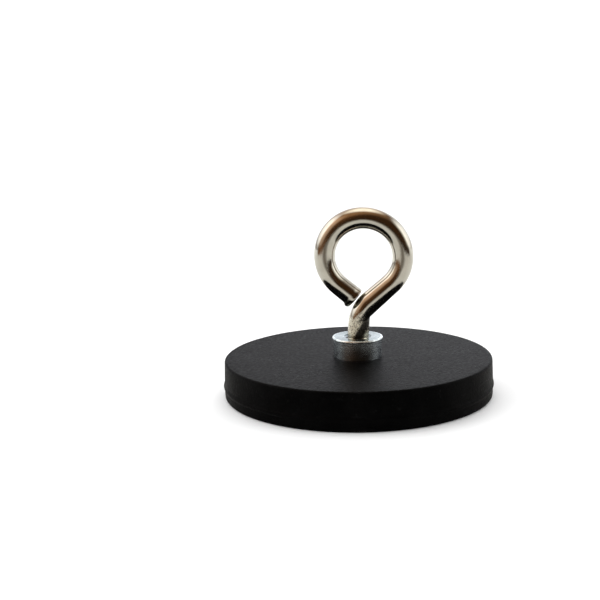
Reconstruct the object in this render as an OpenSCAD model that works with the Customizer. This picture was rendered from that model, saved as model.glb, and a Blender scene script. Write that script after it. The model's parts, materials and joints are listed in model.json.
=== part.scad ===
// Magnet fishing magnet: a rubber-coated magnet disc with a screw-in wire eye.
//
// The disc lies on its holding face. The origin is the middle of that face, +Z points up through
// the threaded bush, and the eye lies in the XZ plane with its tail end on the -X side.
// Inside the rubber, disc magnets of alternating polarity sit against a steel back plate, and the
// bush is riveted through the middle of that plate. The eye's right-hand M4 thread screws into
// the bush, so turning the eye anticlockwise from above lifts it by one pitch a turn.

/* [Rubber jacket] */
// Largest diameter, on the mould's parting line
disc_d = 43; // [43:0.1:46]
// Diameter of the side at the top, before its rounded edge
top_d = 42.5; // [42:0.1:42.6]
// Diameter of the side at the bottom, before its rounded edge
base_d = 42.6; // [42:0.1:42.7]
// Thickness of the coated disc
disc_h = 6; // [5.8:0.1:8]
// Height of the mould's parting line
parting_z = 1.9; // [1.2:0.1:3]
// Height that the parting line stands out of the side
flash = 0.1; // [0.05:0.05:0.15]
// Radius of the top edge
top_round = 0.3; // [0.2:0.1:0.8]
// Radius of the bottom edge
base_round = 0.4; // [0.3:0.1:0.9]
// Rubber between the magnets and the holding face
face_skin = 0.8; // [0.6:0.1:1]
// Rubber outside the back plate, at the top edge
side_wall = 1.75; // [1.25:0.05:2.25]

/* [Back plate and magnets] */
// Thickness of the steel back plate
plate_h = 1.5; // [1:0.1:1.6]
// Number of disc magnets in the ring, an even number so that their poles alternate
magnet_count = 8; // [4:2:8]
// Diameter of one disc magnet
magnet_d = 8; // [6:0.5:9]
// Thickness of one disc magnet
magnet_h = 2.5; // [2:0.1:2.6]
// Steel left between the magnets and the plate's edge
magnet_inset = 1; // [0.5:0.1:2]

/* [Threaded bush] */
// Diameter of the bush's rim
rim_d = 8; // [7.8:0.1:9]
// Height of the rim
rim_h = 0.4; // [0.2:0.1:0.8]
// Diameter of the bush below its rim
collar_d = 7.7; // [7.2:0.1:7.8]
// Height of the bush above the rubber
bush_stand = 3.2; // [2.9:0.1:5]
// Diameter of the spigot that passes through the back plate
spigot_d = 6; // [5.5:0.1:6.5]
// Diameter of the riveted lip below the back plate
lip_d = 7; // [6.8:0.1:8]
// Thickness of the riveted lip
lip_h = 0.5; // [0.4:0.1:0.8]
// Steel that closes the bottom of the bore
bore_floor = 0.4; // [0.3:0.1:0.5]

/* [Thread] */
// Pitch of the thread
pitch = 0.7; // [0.5:0.05:0.7]
// Diameter of the plain solid that stands for the thread, near its pitch diameter
thread_d = 3.5; // [3.4:0.05:3.8]
// Radial gap between that solid and the bore
thread_gap = 0.05; // [0.02:0.01:0.1]
// Turns that free the eye from the bush
turns_out = 8; // [7:0.5:8]
// Chamfer of the screw's tip
tip_chamfer = 0.5; // [0.2:0.1:0.8]
// Widening of the bore at its mouth, in radius and in depth
countersink = 0.4; // [0.2:0.1:0.6]

/* [Eye] */
// Diameter of the eye's wire
wire_d = 3.3; // [3:0.05:3.4]
// Clear diameter inside the eye
eye_inner_d = 9.1; // [9:0.1:10]
// Height of the eye's centre
eye_z = 22; // [22:0.1:26]
// Sideways offset of the eye's centre from the screw's axis
eye_x = 1.15; // [0.5:0.05:1.3]
// Angle, from straight down, at which the wire leaves the round of the eye
mouth_angle = 41; // [36:1:42]
// Bend radius between the neck and the shank
bend_r = 3; // [2.2:0.1:3.2]
// Length of the straight tail
tail_run = 3.4; // [2.8:0.1:3.5]
// Slant of the sheared tail end, away from a square cut
shear_angle = 5; // [0:1:10]

/* [Hidden] */
$fn = 96;
eps = 0.01;
// How far a cutting solid runs past the face that it cuts
overrun = 1;
MAGNETS = [for (i = [1 : magnet_count]) str("magnet_", i)];

rubber_color = [0.13, 0.13, 0.14];
zinc_color = [0.74, 0.78, 0.82];
steel_color = [0.55, 0.56, 0.58];
nickel_color = [0.74, 0.70, 0.62];
magnet_color = [0.80, 0.80, 0.78];

// The stack inside the jacket, from the holding face up
magnet_z = face_skin;
plate_z = magnet_z + magnet_h;
plate_top = plate_z + plate_h;
bush_top = disc_h + bush_stand;
plate_d = top_d - 2 * side_wall;
magnet_ring_r = plate_d / 2 - magnet_inset - magnet_d / 2;

// Chamfer of the bush's rim
rim_chamfer = rim_h / 4;

// The bore and the screw in it
bore_d = thread_d + 2 * thread_gap;
bore_z = plate_z - lip_h + bore_floor;
tip_z = bush_top - turns_out * pitch;
thread_top = bush_top - countersink;

// The eye's centreline, in the XZ plane
eye_r = (eye_inner_d + wire_d) / 2;
leave_angle = 90 - mouth_angle;
neck_start = [eye_x + eye_r * cos(leave_angle), eye_z - eye_r * sin(leave_angle)];
tail_start = [eye_x - eye_r * cos(leave_angle), neck_start[1]];
neck_heading = 180 + mouth_angle;
tail_heading = -mouth_angle;
bend_run = bend_r * tan(leave_angle / 2);
axis_run = neck_start[0] / cos(mouth_angle);
bend_z = neck_start[1] - axis_run * sin(mouth_angle) - bend_run;

// A straight of wire is a hair thinner than a bend and runs a little way into it, so the two fuse
straight_d = wire_d - 0.02;
lap = 0.15;

// Points on an arc about [x, y], from angle a to angle b
function arc(x, y, r, a, b, steps = 8) = [
    for (i = [0 : steps])
        let (t = a + (b - a) * i / steps)
        [x + r * cos(t), y + r * sin(t)]
];

// Outline of the coated disc, from its axis out and round to its axis again
function jacket_outline() = concat(
    [[0, 0]],
    arc(base_d / 2 - base_round, base_round, base_round, -90, 0),
    [
        [disc_d / 2 - flash, parting_z - flash],
        [disc_d / 2, parting_z],
        [disc_d / 2 - flash, parting_z + flash]
    ],
    arc(top_d / 2 - top_round, disc_h - top_round, top_round, 0, 90),
    [[0, disc_h]]
);

// Outline of the bush as a solid turning, before its bore
function bush_outline() = [
    [0, plate_z - lip_h],
    [lip_d / 2, plate_z - lip_h],
    [lip_d / 2, plate_z],
    [spigot_d / 2, plate_z],
    [spigot_d / 2, plate_top],
    [collar_d / 2, plate_top],
    [collar_d / 2, bush_top - rim_h],
    [rim_d / 2, bush_top - rim_h + eps],
    [rim_d / 2, bush_top - rim_chamfer],
    [rim_d / 2 - rim_chamfer, bush_top],
    [0, bush_top]
];

// Outline of the bore with its countersunk mouth
function bore_outline() = [
    [0, bore_z],
    [bore_d / 2, bore_z],
    [bore_d / 2, bush_top - countersink],
    [bore_d / 2 + countersink, bush_top],
    [bore_d / 2 + countersink, bush_top + overrun],
    [0, bush_top + overrun]
];

module plate_disc() {
    translate([0, 0, plate_z])
        cylinder(d = plate_d, h = plate_h);
}

module bush_blank() {
    rotate_extrude()
        polygon(bush_outline());
}

module magnet_disc(number) {
    rotate([0, 0, (number - 0.5) * 360 / magnet_count])
        translate([magnet_ring_r, 0, magnet_z])
        cylinder(d = magnet_d, h = magnet_h);
}

// The overmoulded jacket: one skin all round, with the plate, magnets and bush locked in it
module rubber_jacket() {
    color(rubber_color)
        difference() {
            rotate_extrude()
                polygon(jacket_outline());
            plate_disc();
            bush_blank();
            for (i = [1 : magnet_count])
                magnet_disc(i);
        }
}

// The steel plate that the magnets hold to and the bush is riveted through
module back_plate() {
    color(steel_color)
        difference() {
            plate_disc();
            translate([0, 0, plate_z - overrun])
                cylinder(d = spigot_d, h = plate_h + 2 * overrun);
        }
}

// The zinc-plated bush with its blind M4 bore
module threaded_bush() {
    color(zinc_color)
        difference() {
            bush_blank();
            rotate_extrude()
                polygon(bore_outline());
        }
}

// One disc magnet of the ring
module magnet(number) {
    color(magnet_color)
        magnet_disc(number);
}

// The threaded end of the eye's wire, as a plain rod with a chamfered tip
module eye_screw_thread() {
    color(nickel_color)
        rotate_extrude()
        polygon([
            [0, tip_z],
            [thread_d / 2 - tip_chamfer, tip_z],
            [thread_d / 2, tip_z + tip_chamfer],
            [thread_d / 2, thread_top],
            [0, thread_top]
        ]);
}

// A straight length of wire in the XZ plane, heading at an angle above +X, with a lap at each end
module wire_straight(start, heading, run, lap_back = lap, lap_on = lap) {
    translate([start[0], 0, start[1]])
        rotate([0, 90 - heading, 0])
        translate([0, 0, -lap_back])
        cylinder(d = straight_d, h = lap_back + run + lap_on);
}

// A bend of wire in the XZ plane, about a centre and between two angles above +X
module wire_arc(centre, radius, from, to) {
    translate([centre[0], 0, centre[1]])
        rotate([90, 0, 0])
        rotate([0, 0, from])
        rotate_extrude(angle = to - from)
        translate([radius, 0])
        circle(d = wire_d);
}

// The tail's straight end, sheared off at a slant
module eye_tail() {
    difference() {
        wire_straight(tail_start, tail_heading, tail_run + wire_d / 2);
        translate([tail_start[0], 0, tail_start[1]])
            rotate([0, -tail_heading, 0])
            translate([tail_run, 0, 0])
            rotate([0, -shear_angle, 0])
            translate([0, -wire_d, -2 * wire_d])
            cube([2 * wire_d, 2 * wire_d, 4 * wire_d]);
    }
}

// The bent wire above the thread: shank, bend, neck, round of the eye, and tail
module eye_screw() {
    color(nickel_color)
        union() {
            wire_straight([0, thread_top], 90, bend_z - thread_top, lap_back = 0);
            wire_arc([bend_r, bend_z], bend_r, 180 - leave_angle, 180);
            wire_straight(neck_start, neck_heading, axis_run - bend_run);
            wire_arc([eye_x, eye_z], eye_r, -leave_angle, 180 + leave_angle);
            eye_tail();
        }
}

rubber_jacket();
back_plate();
threaded_bush();
for (i = [1 : magnet_count])
    magnet(i);
eye_screw_thread();
eye_screw();
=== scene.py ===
import json
import math

import bpy
import numpy as np
from mathutils import Matrix, Vector, noise


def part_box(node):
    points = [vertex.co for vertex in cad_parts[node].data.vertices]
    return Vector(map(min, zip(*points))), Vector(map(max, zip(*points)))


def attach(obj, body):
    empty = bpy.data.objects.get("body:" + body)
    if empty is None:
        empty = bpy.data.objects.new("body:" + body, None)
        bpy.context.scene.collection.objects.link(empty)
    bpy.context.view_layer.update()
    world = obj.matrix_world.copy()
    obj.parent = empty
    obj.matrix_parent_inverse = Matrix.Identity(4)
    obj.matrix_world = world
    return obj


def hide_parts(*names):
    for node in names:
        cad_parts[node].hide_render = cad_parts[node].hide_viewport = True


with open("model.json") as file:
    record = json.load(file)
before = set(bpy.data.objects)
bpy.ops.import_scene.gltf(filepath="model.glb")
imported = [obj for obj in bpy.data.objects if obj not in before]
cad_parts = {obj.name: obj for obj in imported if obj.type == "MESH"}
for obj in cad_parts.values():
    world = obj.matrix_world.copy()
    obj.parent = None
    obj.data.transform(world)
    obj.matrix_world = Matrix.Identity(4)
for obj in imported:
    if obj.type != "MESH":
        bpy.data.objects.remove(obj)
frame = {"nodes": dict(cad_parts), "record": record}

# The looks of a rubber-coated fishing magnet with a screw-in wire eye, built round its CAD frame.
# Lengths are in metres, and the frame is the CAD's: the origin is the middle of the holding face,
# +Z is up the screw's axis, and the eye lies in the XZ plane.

MM = 0.001
TURN = 2 * math.pi
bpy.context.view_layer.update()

JACKET_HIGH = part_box("rubber_jacket")[1]
PLATE_LOW, PLATE_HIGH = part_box("back_plate")
BUSH_LOW, BUSH_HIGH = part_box("threaded_bush")
THREAD_LOW, THREAD_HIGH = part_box("eye_screw_thread")
EYE_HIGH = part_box("eye_screw")[1]
MOUNTS = {mount["name"]: mount for mount in frame["record"]["mounts"]}
EYE_CENTRE = Vector(MOUNTS["line_eye"]["pos_m"])
MAGNETS = sorted(name for name in frame["nodes"] if name.startswith("magnet_"))

# ---------------------------------------------------------------- sizes

DISC_R = JACKET_HIGH.x
DISC_H = JACKET_HIGH.z
SIDE_TOP_R = DISC_R - 0.25 * MM
SIDE_BASE_R = DISC_R - 0.20 * MM
TOP_ROUND = 0.35 * MM
BASE_ROUND = 0.40 * MM
# The parting line is a soft bulge: its height, how far its crest stands out, how far its feet
# lie in and above or below it, and the rounding of each
PARTING_Z = 1.9 * MM
FLASH_OUT = 0.03 * MM
FLASH_FOOT_IN = 0.16 * MM
FLASH_FOOT_Z = 0.45 * MM
FLASH_FOOT_ROUND = 0.8 * MM
FLASH_CREST_ROUND = 0.5 * MM
# The skin's unevenness on its side and its top, and the low nick in the parting line
SKIN_WAVE = 0.021 * MM
SKIN_WAVE_SIZE = 6 * MM
SKIN_INSET = 0.012 * MM
TOP_SAG = 0.01 * MM
TOP_SAG_SIZE = 5 * MM
NICK_TURN = math.radians(236)
NICK_Z = 1.25 * MM
NICK_DEPTH = 0.10 * MM

PLATE_R = PLATE_HIGH.x
RIM_R = BUSH_HIGH.x
COLLAR_R = RIM_R - 0.15 * MM
LIP_R = 3.5 * MM
SPIGOT_R = 3.0 * MM
RIM_H = 0.38 * MM
BORE_FLOOR = 0.4 * MM
COUNTERSINK_R = 2.2 * MM
# The turning grooves round the bush's side: depth, and distance from one to the next
GROOVE = 0.006 * MM
GROOVE_SIZE = 0.35 * MM

PITCH = 0.7 * MM
PITCH_R = 1.772 * MM
THREAD_PLAY = 0.03 * MM
CREST = 0.21 * MM
ROOT = 0.15 * MM
# How much deeper each thread is cut than the other one's crest reaches
BORE_CLEARANCE = 0.04 * MM
SCREW_CLEARANCE = 0.03 * MM
# The screw's tip: how much narrower it is than the root, and how fast it widens
TIP_CHAMFER = 0.35 * MM
TIP_SLOPE = 1.1

WIRE_R = EYE_HIGH.y
RING_R = EYE_HIGH.z - EYE_CENTRE.z - WIRE_R
MOUTH = math.radians(41)
SHANK_R = 1.70 * MM
SHANK_FOOT = 7.6 * MM
SHANK_TILT = math.radians(4)
NECK_UPPER = 1.87 * MM
NECK_LOWER = 1.68 * MM
BEND_OUTER_R = 7.0 * MM
BEND_INNER_R = 0.30 * MM
TAIL_UPPER = 1.98 * MM
TAIL_LOWER = 1.43 * MM
TAIL_UPPER_RUN = 3.12 * MM
TAIL_LOWER_RUN = 3.16 * MM
SHANK_TOP = THREAD_HIGH.z + 1.0 * MM
BEND_SWELL = 0.03
# The burr under the tail: how far it stands out, and the shares of the tail's length over which
# it rises and falls
TAIL_BURR = 0.27 * MM
BURR_RISE = (0.68, 0.88)
BURR_FALL = (1.10, 0.92)
# The cut face in millimetres: its roughness, then from its edge in, share of the wire's width
# and height
SHEAR_ROUGH = 0.03
SHEAR_STEPS = ((0.985, 0.07), (0.94, 0.14), (0.86, 0.19), (0.72, 0.22), (0.5, 0.23), (0.25, 0.23))

# A turned outline stops a little short of its axis, and a small flat closes it there
AXIS_GAP = 0.02 * MM
MAGNET_AXIS_GAP = 0.05 * MM

# How finely the meshes are cut: points round a piece, and stations along the wire
JACKET_AROUND = 256
BUSH_AROUND = 128
PLATE_AROUND = 160
MAGNET_AROUND = 64
WIRE_AROUND = 96
THREAD_STEP = 0.055 * MM
SHANK_STEP = 0.12 * MM
BEND_STEPS = 44
NECK_STEPS = 18
ROUND_STEPS = 170
TAIL_STEPS = 36
JOIN_STEPS = 8

# The painted dark reflection of the black rubber and bush down the shank's front: its middle
# across the shank, in shank radii at the thread's top and gained per millimetre, then how far
# off that it sets in on either side, from clear to full
DARK_REFLECTION_START = -0.20
DARK_REFLECTION_SLOPE = 0.29
DARK_REFLECTION_LEFT = (-0.50, -0.22)
DARK_REFLECTION_RIGHT = (0.72, 0.30)
# Heights above the thread, in millimetres, at its upper and lower ends, from clear to full
DARK_REFLECTION_UPPER = (4.6, 3.4)
DARK_REFLECTION_LOWER = (-0.2, 0.3)

# Heights between which the wire turns from dull to bright
DULL_FADE = (14.2 * MM, 11.0 * MM)

# How far the hand-bent round strays from a true one, inside and outside, in millimetres: a mean,
# then the cosine and sine of the angle about the eye's centre, then those of twice that angle
STRAY_INSIDE = (-0.156, 0.0, 0.034, 0.069, -0.054)
STRAY_OUTSIDE = (-0.078, -0.009, 0.076, 0.028, -0.069)


# ---------------------------------------------------------------- mesh helpers

def link(name, mesh, material, sharp=35):
    """A smooth-shaded object of that mesh, with edges sharper than `sharp` degrees kept."""
    mesh.validate()
    mesh.shade_smooth()
    mesh.set_sharp_from_angle(angle=math.radians(sharp))
    mesh.materials.append(material)
    piece = bpy.data.objects.new(name, mesh)
    bpy.context.scene.collection.objects.link(piece)
    return piece


def skin(name, rings, loop=False):
    """A closed mesh over rings of points. A loop joins its last ring to its first; otherwise the
    first and last rings each close on their own middle."""
    rings = np.asarray(rings, float)
    count, around, _ = rings.shape
    points = [tuple(p) for p in rings.reshape(-1, 3)]
    faces = []
    for i in range(count if loop else count - 1):
        a, b = i * around, ((i + 1) % count) * around
        for j in range(around):
            k = (j + 1) % around
            faces.append((a + j, a + k, b + k, b + j))
    if not loop:
        for start, flip in ((0, True), ((count - 1) * around, False)):
            middle = len(points)
            ring = rings[start // around]
            points.append(tuple(ring.mean(0)))
            for j in range(around):
                k = (j + 1) % around
                face = (start + j, start + k, middle)
                faces.append(face[::-1] if flip else face)
    mesh = bpy.data.meshes.new(name)
    mesh.from_pydata(points, [], faces)
    return mesh


def rounded(outline, steps=6):
    """Points of an (r, z, corner radius) outline, its corners turned into arcs."""
    points = []
    for i, (r, z, radius) in enumerate(outline):
        here = Vector((r, z))
        back = Vector(outline[i - 1][:2]) - here
        on = Vector(outline[(i + 1) % len(outline)][:2]) - here
        if radius == 0:
            points.append(here)
            continue
        half = back.angle(on) / 2
        reach = radius / math.tan(half)
        middle = here + (back.normalized() + on.normalized()).normalized() * radius / math.sin(half)
        start = here + back.normalized() * reach - middle
        end = here + on.normalized() * reach - middle
        for step in range(steps + 1):
            points.append(middle + radius * start.slerp(end, step / steps))
    return points


def filled(points, step, loop):
    """The same outline with extra points, so that no stretch is longer than `step`."""
    out = []
    for i, here in enumerate(points):
        out.append(here)
        if i == len(points) - 1 and not loop:
            break
        on = points[(i + 1) % len(points)]
        extra = int((on - here).length / step)
        for n in range(extra):
            out.append(here.lerp(on, (n + 1) / (extra + 1)))
    return out


def lathe(name, points, segments, loop=False, shift=None):
    """A turned mesh from (r, z) points. `shift` moves a ring point by its (r, z, turn)."""
    rings = []
    for r, z in points:
        ring = []
        for j in range(segments):
            turn = TURN * j / segments
            dr, dz = shift(r, z, turn) if shift else (0, 0)
            ring.append(((r + dr) * math.cos(turn), (r + dr) * math.sin(turn), z + dz))
        rings.append(ring)
    return skin(name, rings, loop)


def smooth(value, low, high):
    """0 below low, 1 above high, and a smooth step between; low may be the greater."""
    t = min(1, max(0, (value - low) / (high - low)))
    return t * t * (3 - 2 * t)


def grain(x, y, z, size, seed=0.0):
    """Smooth noise from -1 to 1, with features of about that size."""
    return noise.noise(Vector((x / size + seed, y / size - seed, z / size + 2 * seed)))


def thread_height(turn, z):
    """Distance of a 60 degree thread's flank from its pitch line, before its crests are cut."""
    phase = (z / PITCH - turn / TURN + 0.5) % 1 - 0.5
    return math.sqrt(3) / 2 * PITCH * (0.5 - 2 * abs(phase))


# ---------------------------------------------------------------- node helpers

class Nodes:
    """Short calls that build the node tree of one material, or of the world."""

    def __init__(self, owner, place="Object", shader="Principled BSDF"):
        owner.use_nodes = True
        self.owner = owner
        self.tree = owner.node_tree
        self.shader = self.tree.nodes[shader]
        self.place = self.tree.nodes.new("ShaderNodeTexCoord").outputs[place]

    def link(self, source, target):
        self.tree.links.new(source, target)

    def feed(self, node, index, value):
        """Sets one input of a node, from another node's output or from a number."""
        if isinstance(value, bpy.types.NodeSocket):
            self.link(value, node.inputs[index])
        else:
            node.inputs[index].default_value = value

    def math(self, operation, a, b=0.0):
        node = self.tree.nodes.new("ShaderNodeMath")
        node.operation = operation
        self.feed(node, 0, a)
        self.feed(node, 1, b)
        return node.outputs[0]

    def remap(self, value, low, high, to_low=0.0, to_high=1.0):
        """A smooth step from to_low at low to to_high at high."""
        node = self.tree.nodes.new("ShaderNodeMapRange")
        node.interpolation_type = "SMOOTHSTEP"
        for index, item in enumerate((value, low, high, to_low, to_high)):
            self.feed(node, index, item)
        return node.outputs[0]

    def scaled(self, vector, scale):
        """A vector with each axis multiplied by its own scale."""
        node = self.tree.nodes.new("ShaderNodeMapping")
        node.inputs["Scale"].default_value = scale
        self.link(vector, node.inputs["Vector"])
        return node.outputs[0]

    def noise(self, size, detail=2.0, stretch=(1, 1, 1), place=None):
        """Noise whose features are about `size` across, longer along an axis of small stretch."""
        node = self.tree.nodes.new("ShaderNodeTexNoise")
        self.link(self.scaled(place or self.place, stretch), node.inputs["Vector"])
        node.inputs["Scale"].default_value = 1 / size
        node.inputs["Detail"].default_value = detail
        return node.outputs["Fac"]

    def rings(self, distance, size):
        """Noise along one distance, for turned lines and scratches."""
        node = self.tree.nodes.new("ShaderNodeTexNoise")
        node.noise_dimensions = "1D"
        self.link(self.math("MULTIPLY", distance, 1 / size), node.inputs["W"])
        return node.outputs["Fac"]

    def split(self):
        """The x, y and z of the point that is shaded."""
        node = self.tree.nodes.new("ShaderNodeSeparateXYZ")
        self.link(self.place, node.inputs[0])
        return node.outputs

    def radius(self, x, y):
        """Distance of the point that is shaded from the screw's axis."""
        squares = self.math("MULTIPLY", x, x), self.math("MULTIPLY", y, y)
        return self.math("SQRT", self.math("ADD", *squares))

    def attribute(self, name):
        """Values that the mesh stores at its points."""
        node = self.tree.nodes.new("ShaderNodeAttribute")
        node.attribute_name = name
        return node.outputs

    def mix(self, share, a, b, blend="MIX"):
        """A colour between a and b, or another blend of the two."""
        node = self.tree.nodes.new("ShaderNodeMix")
        node.data_type = "RGBA"
        node.blend_type = blend
        self.feed(node, 0, share)
        for index, colour in ((6, a), (7, b)):
            if not isinstance(colour, bpy.types.NodeSocket):
                colour = (*colour, 1)
            self.feed(node, index, colour)
        return node.outputs[2]

    def add(self, a, b):
        """The sum of two colours."""
        return self.mix(1.0, a, b, "ADD")

    def bump(self, height, depth, onto=None):
        """Normals of a height field that stands `depth` metres high where height is 1."""
        node = self.tree.nodes.new("ShaderNodeBump")
        node.inputs["Distance"].default_value = depth
        self.link(height, node.inputs["Height"])
        if onto:
            self.link(onto, node.inputs["Normal"])
        return node.outputs[0]

    def edges(self):
        """1 on convex edges, from the mesh's own pointiness."""
        node = self.tree.nodes.new("ShaderNodeNewGeometry")
        return self.remap(node.outputs["Pointiness"], 0.52, 0.60)

    def finish(self, colour, roughness, normal, metallic=0.0):
        """Feeds the shader, and gives the material back."""
        self.link(colour, self.shader.inputs["Base Color"])
        self.link(roughness, self.shader.inputs["Roughness"])
        self.link(normal, self.shader.inputs["Normal"])
        self.shader.inputs["Metallic"].default_value = metallic
        return self.owner


def material_nodes(name):
    """Nodes of a new material."""
    return Nodes(bpy.data.materials.new(name))


# ---------------------------------------------------------------- materials

def rubber_material():
    """Satin moulded black rubber: fine pebbling, soft blotches, a paler edge, and faint scuffs
    and round scratches."""
    n = material_nodes("moulded_rubber")
    blotches = n.noise(3.2 * MM, 3)
    mottle = n.noise(0.55 * MM, 3)
    pebbles = n.noise(0.24 * MM, 2)
    scuffs = n.remap(n.noise(1.1 * MM, 4, (0.25, 1, 1)), 0.62, 0.74)
    dust = n.remap(n.noise(0.5 * MM, 2), 0.66, 0.78)
    x, y, _ = n.split()
    turned = n.remap(n.rings(n.radius(x, y), 0.16 * MM), 0.58, 0.72)
    turned = n.math("MULTIPLY", turned, n.remap(n.noise(7 * MM, 2), 0.50, 0.62))
    blotched = n.remap(blotches, 0.35, 0.65)
    colour = n.mix(blotched, (0.0008, 0.0008, 0.0009), (0.0020, 0.0020, 0.0021))
    colour = n.mix(n.math("MULTIPLY", scuffs, 0.25), colour, (0.016, 0.016, 0.017))
    colour = n.mix(n.math("MULTIPLY", dust, 0.10), colour, (0.05, 0.05, 0.05))
    colour = n.mix(n.math("MULTIPLY", n.edges(), 0.30), colour, (0.014, 0.014, 0.015))
    roughness = n.remap(mottle, 0.3, 0.7, 0.41, 0.50)
    roughness = n.math("ADD", roughness, n.math("MULTIPLY", scuffs, 0.08))
    roughness = n.math("SUBTRACT", roughness, n.math("MULTIPLY", turned, 0.06))
    normal = n.bump(pebbles, 0.045 * MM)
    normal = n.bump(mottle, 0.020 * MM, normal)
    normal = n.bump(turned, 0.010 * MM, normal)
    n.shader.inputs["IOR"].default_value = 1.084
    return n.finish(colour, roughness, normal)


def zinc_material():
    """Bright zinc plate over fine turning lines: cool and cloudy on its face, with a painted
    highlight on its rim. The lines run round the axis, and so does the stretch of the highlights."""
    n = material_nodes("bright_zinc")
    x, y, z = n.split()
    radius = n.radius(x, y)
    lines = n.rings(n.math("ADD", radius, z), 0.19 * MM)
    clouds = n.noise(0.7 * MM, 3)
    specks = n.noise(0.16 * MM, 2)
    colour = n.mix(n.remap(clouds, 0.3, 0.7), (0.15, 0.20, 0.20), (0.27, 0.33, 0.335))
    face = n.remap(z, BUSH_HIGH.z - 0.20 * MM, BUSH_HIGH.z - 0.05 * MM)
    colour = n.mix(face, (0.40, 0.44, 0.46), colour)
    specked = n.math("MULTIPLY", face, n.remap(specks, 0.52, 0.68, 0.0, 0.6))
    colour = n.mix(specked, colour, (0.09, 0.12, 0.125))
    dark_lines = n.math("MULTIPLY", n.remap(lines, 0.42, 0.62), 0.55)
    colour = n.mix(dark_lines, colour, (0.08, 0.095, 0.10))
    # Painted highlight: the rim is painted near white, standing for the light it catches from
    # above.
    rim_low = BUSH_HIGH.z - RIM_H
    rim = n.math(
        "MULTIPLY",
        n.remap(radius, RIM_R - 0.34 * MM, RIM_R - 0.14 * MM),
        n.remap(z, rim_low - 0.05 * MM, rim_low + 0.08 * MM),
    )
    rim = n.math("MULTIPLY", rim, n.remap(clouds, 0.35, 0.65, 0.55, 1.0))
    colour = n.mix(rim, colour, (0.78, 0.86, 0.88))
    roughness = n.remap(clouds, 0.3, 0.7, 0.22, 0.27)
    normal = n.bump(lines, 0.0015 * MM)
    normal = n.bump(n.math("MULTIPLY", specks, face), 0.002 * MM, normal)
    tangent = n.tree.nodes.new("ShaderNodeTangent")
    tangent.direction_type = "RADIAL"
    tangent.axis = "Z"
    n.link(tangent.outputs[0], n.shader.inputs["Tangent"])
    n.shader.inputs["Anisotropic"].default_value = 0.84
    n.shader.inputs["Anisotropic Rotation"].default_value = 0.25
    return n.finish(colour, roughness, normal, 1.0)


def wire_material():
    """Bright warm nickel over drawn wire: lengthwise streaks, and a dull pitted lower shank
    with a painted dark reflection of the rubber and bush down its front."""
    n = material_nodes("warm_nickel")
    flow = n.attribute("flow")["Vector"]
    dull = n.attribute("dull")["Fac"]
    dark_reflection = n.attribute("dark_reflection")["Fac"]
    streaks = n.noise(0.35, 3, (1, 1, 0.06), flow)
    clouds = n.noise(1.4 * MM, 3)
    pits = n.remap(n.noise(0.20 * MM, 3), 0.54, 0.66)
    pits = n.math("MULTIPLY", pits, dull)
    colour = n.mix(n.remap(clouds, 0.3, 0.7), (0.485, 0.467, 0.410), (0.545, 0.525, 0.460))
    colour = n.mix(n.math("MULTIPLY", dull, 0.7), colour, (0.66, 0.62, 0.50))
    colour = n.mix(n.math("MULTIPLY", pits, 0.8), colour, (0.13, 0.10, 0.06))
    # Painted dark reflection: the shank's front is darkened where it mirrors the black rubber and
    # bush.
    colour = n.mix(n.math("MULTIPLY", dark_reflection, 0.93), colour, (0.012, 0.011, 0.010))
    roughness = n.remap(streaks, 0.3, 0.7, 0.10, 0.17)
    roughness = n.math("ADD", roughness, n.math("MULTIPLY", dull, 0.04))
    normal = n.bump(streaks, 0.006 * MM)
    normal = n.bump(n.noise(0.3 * MM, 2), 0.004 * MM, normal)
    normal = n.bump(pits, -0.018 * MM, normal)
    return n.finish(colour, roughness, normal, 1.0)


def plate_material():
    """Stamped mild steel with a grey oxide bloom."""
    n = material_nodes("stamped_steel")
    clouds = n.noise(4 * MM, 4)
    grit = n.noise(0.2 * MM, 3)
    colour = n.mix(n.remap(clouds, 0.3, 0.7), (0.34, 0.34, 0.35), (0.50, 0.50, 0.50))
    colour = n.mix(n.math("MULTIPLY", n.edges(), 0.5), colour, (0.62, 0.62, 0.62))
    roughness = n.remap(clouds, 0.3, 0.7, 0.34, 0.48)
    return n.finish(colour, roughness, n.bump(grit, 0.006 * MM), 1.0)


def magnet_material():
    """Bright nickel plate over a sintered magnet."""
    n = material_nodes("magnet_nickel")
    clouds = n.noise(2 * MM, 3)
    grit = n.noise(0.12 * MM, 2)
    colour = n.mix(n.remap(clouds, 0.3, 0.7), (0.60, 0.57, 0.52), (0.72, 0.70, 0.66))
    roughness = n.remap(clouds, 0.3, 0.7, 0.14, 0.24)
    return n.finish(colour, roughness, n.bump(grit, 0.003 * MM), 1.0)


# ---------------------------------------------------------------- rubber jacket

def jacket_shift(r, z, turn):
    """Small moulding irregularities of the jacket's skin, and the low nick in its parting line."""
    x, y = r * math.cos(turn), r * math.sin(turn)
    outside = smooth(r, PLATE_R + 0.4 * MM, PLATE_R + 1.2 * MM)
    wave = SKIN_WAVE * grain(x, y, z, SKIN_WAVE_SIZE, 3.1)
    away = abs((turn - NICK_TURN + math.pi) % TURN - math.pi) * DISC_R
    nick = smooth(away, 2.6 * MM, 0.6 * MM) * smooth(abs(z - NICK_Z), 0.35 * MM, 0.05 * MM)
    dr = outside * (wave - SKIN_INSET - NICK_DEPTH * nick)
    top = smooth(z, DISC_H - 0.5 * MM, DISC_H)
    top *= smooth(r, COLLAR_R + 0.2 * MM, COLLAR_R + 1.5 * MM)
    dz = -TOP_SAG * top * (1 + grain(x, y, z, TOP_SAG_SIZE, 7.7))
    return dr, dz


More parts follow.
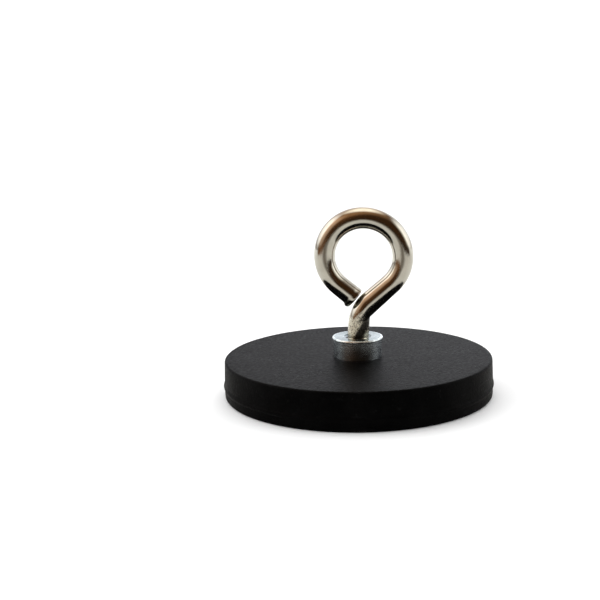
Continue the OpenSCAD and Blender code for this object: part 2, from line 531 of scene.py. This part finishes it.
def jacket_outline():
    """The skin's outline, from the middle of the holding face out, up and in over the plate."""
    return [
        (AXIS_GAP, 0, 0),
        (SIDE_BASE_R, 0, BASE_ROUND),
        (DISC_R - FLASH_FOOT_IN, PARTING_Z - FLASH_FOOT_Z, FLASH_FOOT_ROUND),
        (DISC_R + FLASH_OUT, PARTING_Z, FLASH_CREST_ROUND),
        (DISC_R - FLASH_FOOT_IN, PARTING_Z + FLASH_FOOT_Z, FLASH_FOOT_ROUND),
        (SIDE_TOP_R, DISC_H, TOP_ROUND),
        (COLLAR_R, DISC_H, 0.12 * MM),
        (COLLAR_R, PLATE_HIGH.z, 0),
        (PLATE_R, PLATE_HIGH.z, 0),
        (PLATE_R, PLATE_LOW.z, 0),
        (LIP_R, PLATE_LOW.z, 0),
        (LIP_R, BUSH_LOW.z, 0),
        (AXIS_GAP, BUSH_LOW.z, 0),
    ]


def pocket_cutter(name):
    """A cylinder as wide as a magnet, from its foot to a little above its top."""
    low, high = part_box(name)
    centre = (low + high) / 2
    radius = (high.x - low.x) / 2
    rings = []
    for z in (low.z, high.z + 0.2 * MM):
        turns = np.linspace(0, TURN, MAGNET_AROUND, endpoint=False)
        rings.append([
            (centre.x + radius * math.cos(t), centre.y + radius * math.sin(t), z) for t in turns
        ])
    cutter = bpy.data.objects.new("cutter", skin("cutter", rings))
    bpy.context.scene.collection.objects.link(cutter)
    return cutter


def bake_modifiers(piece):
    """Applies every modifier to the piece's own mesh."""
    bpy.context.view_layer.update()
    graph = bpy.context.evaluated_depsgraph_get()
    mesh = bpy.data.meshes.new_from_object(piece.evaluated_get(graph))
    piece.modifiers.clear()
    piece.data = mesh


def rubber_jacket(material):
    """The moulded skin, with a pocket for each magnet."""
    points = filled(rounded(jacket_outline(), 7), 0.5 * MM, False)
    skin_mesh = lathe("jacket_skin", points, JACKET_AROUND, shift=jacket_shift)
    piece = link("jacket_skin", skin_mesh, material)
    cutters = [pocket_cutter(name) for name in MAGNETS]
    for cutter in cutters:
        cut = piece.modifiers.new("pocket", "BOOLEAN")
        cut.operation = "DIFFERENCE"
        cut.solver = "EXACT"
        cut.object = cutter
    bake_modifiers(piece)
    for cutter in cutters:
        bpy.data.objects.remove(cutter)
    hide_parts("rubber_jacket")
    return piece


# ---------------------------------------------------------------- bush

def bush_outline():
    """The bush's outline, from the middle of its foot out, up, and down its bore again."""
    top = BUSH_HIGH.z
    bore_r = PITCH_R - ROOT
    bore_z = BUSH_LOW.z + BORE_FLOOR
    return [
        (AXIS_GAP, BUSH_LOW.z, 0),
        (LIP_R, BUSH_LOW.z, 0.12 * MM),
        (LIP_R, PLATE_LOW.z, 0),
        (SPIGOT_R, PLATE_LOW.z, 0),
        (SPIGOT_R, PLATE_HIGH.z, 0),
        (COLLAR_R, PLATE_HIGH.z, 0),
        (COLLAR_R, top - RIM_H, 0.06 * MM),
        (RIM_R, top - RIM_H, 0.10 * MM),
        (RIM_R, top, 0.20 * MM),
        (COUNTERSINK_R, top, 0.20 * MM),
        (bore_r, top - COUNTERSINK_R + PITCH_R - ROOT, 0),
        (bore_r, bore_z, 0),
        (AXIS_GAP, bore_z, 0),
    ]


def bush_shift(r, z, turn):
    """Turning grooves outside, and the cut thread in the bore."""
    bore_top = BUSH_HIGH.z - 0.1 * MM
    bore_low = BUSH_LOW.z + BORE_FLOOR + 0.3 * MM
    in_bore = PITCH_R - 2 * ROOT < r < PITCH_R + CREST
    if in_bore and bore_low - 0.5 * MM < z < BUSH_HIGH.z:
        height = min(CREST + BORE_CLEARANCE, max(-ROOT, thread_height(turn, z)))
        wall = PITCH_R + THREAD_PLAY + height
        share = smooth(z, bore_low, bore_low + PITCH)
        share *= smooth(z, bore_top, bore_top - 0.25 * MM)
        return max(0, wall - r) * share, 0
    if abs(r - COLLAR_R) < 0.02 * MM and z > DISC_H:
        return GROOVE * (grain(0, 0, z, GROOVE_SIZE, 5.2) - 0.5), 0
    return 0, 0


def threaded_bush(material):
    """The turned bush, with the thread cut in its bore."""
    points = filled(rounded(bush_outline(), 5), 0.07 * MM, False)
    turned = lathe("bush_turned", points, BUSH_AROUND, shift=bush_shift)
    piece = link("bush_turned", turned, material, 40)
    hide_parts("threaded_bush")
    return piece


# ---------------------------------------------------------------- plate and magnets

def back_plate(material):
    """The stamped plate, with the hole for the bush's spigot."""
    outline = [
        (SPIGOT_R, PLATE_LOW.z, 0.1 * MM),
        (PLATE_R, PLATE_LOW.z, 0.25 * MM),
        (PLATE_R, PLATE_HIGH.z, 0.1 * MM),
        (SPIGOT_R, PLATE_HIGH.z, 0.1 * MM),
    ]
    points = filled(rounded(outline, 4), 1.5 * MM, True)
    piece = link("plate_stamped", lathe("plate_stamped", points, PLATE_AROUND, True), material)
    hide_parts("back_plate")
    return piece


def disc_magnet(name, material):
    """One plated magnet, where the CAD has it."""
    low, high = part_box(name)
    radius = (high.x - low.x) / 2
    outline = [
        (MAGNET_AXIS_GAP, low.z, 0),
        (radius, low.z, 0.25 * MM),
        (radius, high.z, 0.25 * MM),
        (MAGNET_AXIS_GAP, high.z, 0),
    ]
    points = filled(rounded(outline, 4), 0.8 * MM, False)
    piece = link(name + "_plated", lathe(name + "_plated", points, MAGNET_AROUND), material)
    centre = (low + high) / 2
    piece.data.transform(Matrix.Translation((centre.x, centre.y, 0)))
    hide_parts(name)
    return piece


# ---------------------------------------------------------------- eye

def direction(angle):
    """Unit vector at an angle above +X, in the plane of the eye."""
    return Vector((math.cos(angle), math.sin(angle)))


def lean(z):
    """How far the shank's middle stands off the screw's axis at a height."""
    rise = max(0, z - SHANK_FOOT)
    return math.tan(SHANK_TILT) * rise * smooth(rise, 0, 1.2 * MM)


def shank_width(z):
    """Half the width of the wire: the press left the shank a little wider than the round."""
    return WIRE_R + (SHANK_R - WIRE_R) * smooth(z, THREAD_HIGH.z - 0.2 * MM, SHANK_TOP)


def shank_rails(low, high):
    """Stations (outer edge, inner edge, half thickness) up the straight shank."""
    levels = np.linspace(low, high, max(2, round((high - low) / SHANK_STEP)), endpoint=False)
    rails = []
    for z in levels:
        wide = shank_width(z)
        rails.append((Vector((lean(z) - wide, z)), Vector((lean(z) + wide, z)), WIRE_R))
    return rails


def stray(terms, angle):
    """How far the round's edge stands off a true circle at an angle about the eye's centre."""
    waves = (1, math.cos(angle), math.sin(angle), math.cos(2 * angle), math.sin(2 * angle))
    return sum(term * wave for term, wave in zip(terms, waves)) * MM


def fillet_centre(point, heading, off, other, other_heading, other_off, radius):
    """Centre of an arc that touches two lines, on the right of both. Each line runs through its
    point shifted to the left of its heading by its `off`."""
    left, other_left = heading.orthogonal(), other_heading.orthogonal()
    start = point + (off - radius) * left
    aim = other + (other_off - radius) * other_left
    gap = aim - start
    reach = (gap.x * other_heading.y - gap.y * other_heading.x) / (
        heading.x * other_heading.y - heading.y * other_heading.x)
    return start + reach * heading


def blend_rails(first, last, steps):
    """Stations between two stations, without the last."""
    rails = []
    for i in range(steps):
        share = i / steps
        outer = first[0].lerp(last[0], share)
        inner = first[1].lerp(last[1], share)
        rails.append((outer, inner, first[2] + (last[2] - first[2]) * share))
    return rails


def bend_rails(outer, inner, start, end):
    """Stations round the bend, between an outer and a much sharper inner arc."""
    rails = []
    for i in range(BEND_STEPS):
        share = i / BEND_STEPS
        spoke = direction(start + share * (end - start))
        thickness = WIRE_R * (1 + BEND_SWELL * math.sin(math.pi * share))
        rails.append((outer + BEND_OUTER_R * spoke, inner + BEND_INNER_R * spoke, thickness))
    return rails


def round_rails(centre, start, end):
    """Stations round the eye, from one angle about its centre to another."""
    rails = []
    for i in range(ROUND_STEPS + 1):
        angle = start + (end - start) * i / ROUND_STEPS
        spoke = direction(angle)
        inside = RING_R - WIRE_R + stray(STRAY_INSIDE, angle)
        outside = RING_R + WIRE_R + stray(STRAY_OUTSIDE, angle)
        rails.append((centre + inside * spoke, centre + outside * spoke, WIRE_R))
    return rails


def tail_rails(last, tail_top):
    """Stations from the round's last one to the cut end, with a burr on the tail's lower side."""
    heading, left = direction(-MOUTH), direction(math.pi / 2 - MOUTH)
    foot = (
        tail_top + TAIL_UPPER * left + TAIL_UPPER_RUN * heading,
        tail_top - TAIL_LOWER * left + TAIL_LOWER_RUN * heading,
        WIRE_R,
    )
    tail = blend_rails(last, foot, TAIL_STEPS)[1:] + [foot]
    for i, (upper, lower, thickness) in enumerate(tail):
        share = i / (len(tail) - 1)
        burr = TAIL_BURR * smooth(share, *BURR_RISE) * smooth(share, *BURR_FALL)
        tail[i] = (upper, lower - burr * left, thickness)
    return tail


def eye_rails():
    """Stations of the wire from above the thread, through bend, neck and round, to the tail."""
    centre = Vector((EYE_CENTRE.x, EYE_CENTRE.z))
    leave = math.pi / 2 - MOUTH
    neck_top = centre + RING_R * direction(-leave)
    neck = direction(MOUTH)
    shank = direction(math.pi / 2 - SHANK_TILT)
    foot = Vector((lean(SHANK_TOP), SHANK_TOP))
    outer = fillet_centre(foot, shank, SHANK_R, neck_top, neck, NECK_UPPER, BEND_OUTER_R)
    inner = fillet_centre(foot, shank, -SHANK_R, neck_top, neck, -NECK_LOWER, BEND_INNER_R)
    start, end = math.pi - SHANK_TILT, math.pi / 2 + MOUTH
    bend = bend_rails(outer, inner, start, end)
    spoke = direction(end)
    neck_foot = (outer + BEND_OUTER_R * spoke, inner + BEND_INNER_R * spoke, WIRE_R)

    low = shank_rails(SHANK_TOP, bend[0][0].y - 0.3 * MM)
    join = blend_rails(low[-1], bend[0], JOIN_STEPS)[1:]
    eye = round_rails(centre, -leave, math.pi + leave)
    tail = tail_rails(eye[-1], centre + RING_R * direction(math.pi + leave))
    return low + join + bend + blend_rails(neck_foot, eye[0], NECK_STEPS) + eye + tail


def ring_of(outer, inner, thickness):
    """Points round one station of the wire, from its inner edge and by way of the +Y side."""
    centre = (outer + inner) / 2
    half = (inner - outer) / 2
    ring = []
    for j in range(WIRE_AROUND):
        turn = TURN * j / WIRE_AROUND
        at = centre + half * math.cos(turn)
        ring.append((at.x, thickness * math.sin(turn), at.y))
    return ring


def threaded_rings():
    """The rolled thread, from its chamfered tip to its run-out under the shank."""
    rings = []
    tip = THREAD_LOW.z
    count = round((SHANK_TOP - tip) / THREAD_STEP)
    for z in np.linspace(tip, SHANK_TOP, count, endpoint=False):
        runout = smooth(z, THREAD_HIGH.z + 0.45 * MM, THREAD_HIGH.z - 0.35 * MM)
        chamfer = PITCH_R - ROOT - TIP_CHAMFER + (z - tip) * TIP_SLOPE
        wide = shank_width(z) / WIRE_R
        ring = []
        for j in range(WIRE_AROUND):
            turn = TURN * j / WIRE_AROUND
            height = min(CREST, max(-ROOT - SCREW_CLEARANCE, thread_height(turn, z)))
            radius = WIRE_R + runout * (PITCH_R - THREAD_PLAY + height - WIRE_R)
            radius = min(radius, chamfer)
            ring.append((lean(z) + radius * wide * math.cos(turn), radius * math.sin(turn), z))
        rings.append(ring)
    return rings


def sheared_end(ring, heading):
    """The cut face: a rounded edge, then a rough and slightly domed middle."""
    ring = np.array(ring)
    middle = ring.mean(0)
    ahead = np.array((heading.x, 0, heading.y))
    rings = []
    for scale, on in SHEAR_STEPS:
        face = middle + (ring - middle) * scale
        for point in face:
            rough = SHEAR_ROUGH * grain(*point, 0.35 * MM, 1.3)
            point += ahead * (on + rough) * MM
        rings.append(face.tolist())
    return rings


def eye_wire(material):
    """The whole bent wire in one mesh, from the thread's tip to the cut end."""
    rings = threaded_rings() + [ring_of(*station) for station in eye_rails()]
    rings += sheared_end(rings[-1], direction(-MOUTH))
    mesh = skin("eye_wire", rings)
    paint_wire(mesh, rings)
    piece = link("eye_wire", mesh, material, 40)
    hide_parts("eye_screw", "eye_screw_thread")
    return piece


def dark_reflection_at(point):
    """How dark a point is in the painted dark reflection of the rubber and bush that runs down
    the shank's front, from right to middle.
    """
    rise = (point.z - THREAD_HIGH.z) / MM
    across = (point.x - lean(point.z)) / SHANK_R
    off = across - DARK_REFLECTION_START - DARK_REFLECTION_SLOPE * rise
    band = smooth(off, *DARK_REFLECTION_LEFT) * smooth(off, *DARK_REFLECTION_RIGHT)
    front = smooth(point.y, 0.2 * MM, -0.2 * MM)
    return band * front * smooth(rise, *DARK_REFLECTION_UPPER) * smooth(rise, *DARK_REFLECTION_LOWER)


def dulled(point):
    """How dull and pitted the wire is at a point: fully so from the thread's top to the bend."""
    thread_top = THREAD_HIGH.z
    return smooth(point.z, *DULL_FADE) * smooth(point.z, thread_top - 0.4 * MM, thread_top)


def paint_wire(mesh, rings):
    """Stores where each point is round and along the wire, for streaks, how dull it is, and how
    dark the painted reflection of the rubber and bush is there."""
    rings = np.asarray(rings)
    count, around, _ = rings.shape
    middles = rings.mean(1)
    steps = np.linalg.norm(np.diff(middles, axis=0), axis=1)
    along = np.concatenate(([0], np.cumsum(steps))) / MM
    turn = TURN * np.arange(around) / around
    flow = np.zeros((count, around, 3))
    flow[:, :, 0] = np.cos(turn)
    flow[:, :, 1] = np.sin(turn)
    flow[:, :, 2] = along[:, None]
    ends = np.array([[0, 0, along[0]], [0, 0, along[-1]]])
    flow = np.concatenate((flow.reshape(-1, 3), ends)).astype(np.float32)
    layer = mesh.attributes.new("flow", "FLOAT_VECTOR", "POINT")
    layer.data.foreach_set("vector", flow.ravel())
    # Each point also stores its dullness and its share of the painted dark reflection on the shank.
    for name, value_at in (("dull", dulled), ("dark_reflection", dark_reflection_at)):
        layer = mesh.attributes.new(name, "FLOAT", "POINT")
        layer.data.foreach_set("value", [value_at(p.co) for p in mesh.vertices])


# ---------------------------------------------------------------- studio

def aim(azimuth, elevation):
    """Unit vector of a direction, in degrees. Azimuth 0 is the camera's side, and 90 is +X."""
    turn, lift = math.radians(azimuth), math.radians(elevation)
    return (math.sin(turn) * math.cos(lift), -math.cos(turn) * math.cos(lift), math.sin(lift))


# Soft lights of the studio: direction, half angle of the full part, half angle of the edge, colour
LIGHTS = (
    ((168, 83), 1, 34, (1.32, 1.30, 1.18)),
    ((-100, 31), 11, 36, (1.36, 1.36, 1.36)),
    ((95, 20), 12, 33, (1.08, 1.08, 1.08)),
    ((76, 21), 1, 29, (0.52, 0.50, 0.45)),
    ((151, 14), 1, 51, (0.84, 0.87, 0.92)),
    ((-166, 15), 38, 47, (0.42, 0.43, 0.46)),
    ((-168, -7), 37, 45, (0.29, 0.30, 0.32)),
    ((-62, 25), 1, 36, (0.46, 0.34, 0.25)),
    ((-96, 77), 29, 67, (0.25, 0.135, 0.065)),
    ((-38, 34), 5, 40, (0.055, 0.018, 0.004)),
)
ROOM = (0.045, 0.020, 0.007)

LIGHT_GAIN = 1.28
DIFFUSE_GAIN = 1.45
PAPER_SIZE = 3.0

# The photographer's shade on the paper, seen only in reflections: where it sets in ahead of the
# object, from soft to full, its middle, and how far beside that it fades out
FRONT_SHADE_Y = (-0.070, -0.110)
FRONT_SHADE_X = -0.004
FRONT_SHADE_FADE = (0.075, 0.015)
FRONT_SHADE_STRENGTH = 0.85

# The low dark card in front: its distance, foot and top, half its spread, and its pieces
FLAG_DISTANCE = 0.20
FLAG_LEVELS = (0.0005, 0.034)
FLAG_SPREAD = math.radians(78)
FLAG_ACROSS = 48

# The camera's place above the origin, where it looks, and its lens in millimetres
CAMERA_DISTANCE = 0.185
CAMERA_ELEVATION = math.radians(16.08)
CAMERA_PITCH = math.radians(11.46)
CAMERA_YAW = math.radians(-2.904)
CAMERA_ROLL = math.radians(-1.389)
CAMERA_LENS = 68.78


def sky_nodes():
    """Plain soft studio light, with a dark warm room on the camera's side. Its colours show in
    reflections only: matt surfaces get the same light in grey, and the backdrop is white."""
    world = bpy.data.worlds.new("studio")
    bpy.context.scene.world = world
    n = Nodes(world, "Generated", "Background")
    total = ROOM
    for place, full, edge, colour in LIGHTS:
        dot = n.tree.nodes.new("ShaderNodeVectorMath")
        dot.operation = "DOT_PRODUCT"
        n.link(n.place, dot.inputs[0])
        dot.inputs[1].default_value = aim(*place)
        soft, whole = math.cos(math.radians(edge)), math.cos(math.radians(full))
        share = n.remap(dot.outputs["Value"], soft, whole)
        total = n.add(total, n.mix(share, (0, 0, 0), colour))
    grey = n.tree.nodes.new("ShaderNodeRGBToBW")
    n.link(total, grey.inputs[0])
    path = n.tree.nodes.new("ShaderNodeLightPath")
    neutral = n.math("MULTIPLY", grey.outputs[0], DIFFUSE_GAIN)
    light = n.mix(path.outputs["Is Glossy Ray"], neutral, total)
    backdrop = n.mix(path.outputs["Is Camera Ray"], light, (1.02, 1.02, 1.02))
    n.link(backdrop, n.shader.inputs["Color"])
    n.shader.inputs["Strength"].default_value = LIGHT_GAIN


def floor():
    """Pale paper. In reflections it is dimmer in front, where less light falls on it."""
    mesh = bpy.data.meshes.new("floor")
    corners = [(x * PAPER_SIZE, y * PAPER_SIZE, 0) for x, y in ((-1, -1), (1, -1), (1, 1), (-1, 1))]
    mesh.from_pydata(corners, [], [(0, 1, 2, 3)])
    n = material_nodes("floor_paper")
    x, y, _ = n.split()
    dim = n.mix(n.remap(y, -0.06, 0.12), (0.66, 0.64, 0.60), (0.96, 0.96, 0.96))
    ahead = n.remap(y, *FRONT_SHADE_Y)
    off_middle = n.math("ABSOLUTE", n.math("SUBTRACT", x, FRONT_SHADE_X))
    shade = n.math("MULTIPLY", ahead, n.remap(off_middle, *FRONT_SHADE_FADE))
    dim = n.mix(n.math("MULTIPLY", shade, FRONT_SHADE_STRENGTH), dim, (0.10, 0.075, 0.05))
    path = n.tree.nodes.new("ShaderNodeLightPath")
    colour = n.mix(path.outputs["Is Camera Ray"], dim, (0.98, 0.98, 0.98))
    n.link(colour, n.shader.inputs["Base Color"])
    n.shader.inputs["Roughness"].default_value = 0.9
    n.shader.inputs["Specular IOR Level"].default_value = 0.1
    link("floor", mesh, n.owner)


def flag():
    """A low dark card in front of the object, glowing a dim warm brown that stands in for the
    dark room; it is seen only in its reflections.
    """
    points, faces = [], []
    for level in FLAG_LEVELS:
        for j in range(FLAG_ACROSS + 1):
            azimuth = -math.pi / 2 + FLAG_SPREAD * (2 * j / FLAG_ACROSS - 1)
            out = FLAG_DISTANCE * direction(azimuth)
            points.append((out.x, out.y, level))
    for j in range(FLAG_ACROSS):
        faces.append((j, j + 1, j + FLAG_ACROSS + 2, j + FLAG_ACROSS + 1))
    mesh = bpy.data.meshes.new("flag")
    mesh.from_pydata(points, [], faces)
    n = material_nodes("flag_glow")
    x = n.split()[0]
    # Painted glow: the card emits a dim brown, brighter on its left, standing for the dark room.
    room_glow = n.mix(n.remap(x, -0.12, 0.0), (0.20, 0.09, 0.035), (0.040, 0.020, 0.008))
    n.link(room_glow, n.shader.inputs["Emission Color"])
    n.shader.inputs["Emission Strength"].default_value = 1.0
    n.shader.inputs["Base Color"].default_value = (0, 0, 0, 1)
    n.shader.inputs["Specular IOR Level"].default_value = 0
    piece = link("flag", mesh, n.owner)
    piece.visible_camera = False
    piece.visible_diffuse = False
    piece.visible_shadow = False


def camera():
    """The camera stands on the -Y side, a little above the disc, and is rolled slightly."""
    data = bpy.data.cameras.new("camera")
    data.sensor_width = 36
    data.lens = CAMERA_LENS
    data.clip_start = 0.01
    item = bpy.data.objects.new("camera", data)
    bpy.context.scene.collection.objects.link(item)
    level = math.cos(CAMERA_PITCH)
    forward = Vector((
        math.sin(CAMERA_YAW) * level,
        math.cos(CAMERA_YAW) * level,
        -math.sin(CAMERA_PITCH),
    ))
    right = forward.cross(Vector((0, 0, 1))).normalized()
    up = right.cross(forward)
    across = math.cos(CAMERA_ROLL) * right + math.sin(CAMERA_ROLL) * up
    above = -math.sin(CAMERA_ROLL) * right + math.cos(CAMERA_ROLL) * up
    turned = Matrix((across, above, -forward)).transposed().to_4x4()
    back = CAMERA_DISTANCE * math.cos(CAMERA_ELEVATION)
    place = Vector((0, -back, CAMERA_DISTANCE * math.sin(CAMERA_ELEVATION)))
    item.matrix_world = Matrix.Translation(place) @ turned
    bpy.context.scene.camera = item


# ---------------------------------------------------------------- assembly

bpy.context.scene.view_settings.view_transform = "Standard"
camera()
sky_nodes()
floor()
flag()

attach(rubber_jacket(rubber_material()), "magnet_base")
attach(threaded_bush(zinc_material()), "magnet_base")
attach(back_plate(plate_material()), "magnet_base")
nickel = magnet_material()
for magnet_name in MAGNETS:
    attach(disc_magnet(magnet_name, nickel), "magnet_base")
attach(eye_wire(wire_material()), "eye")
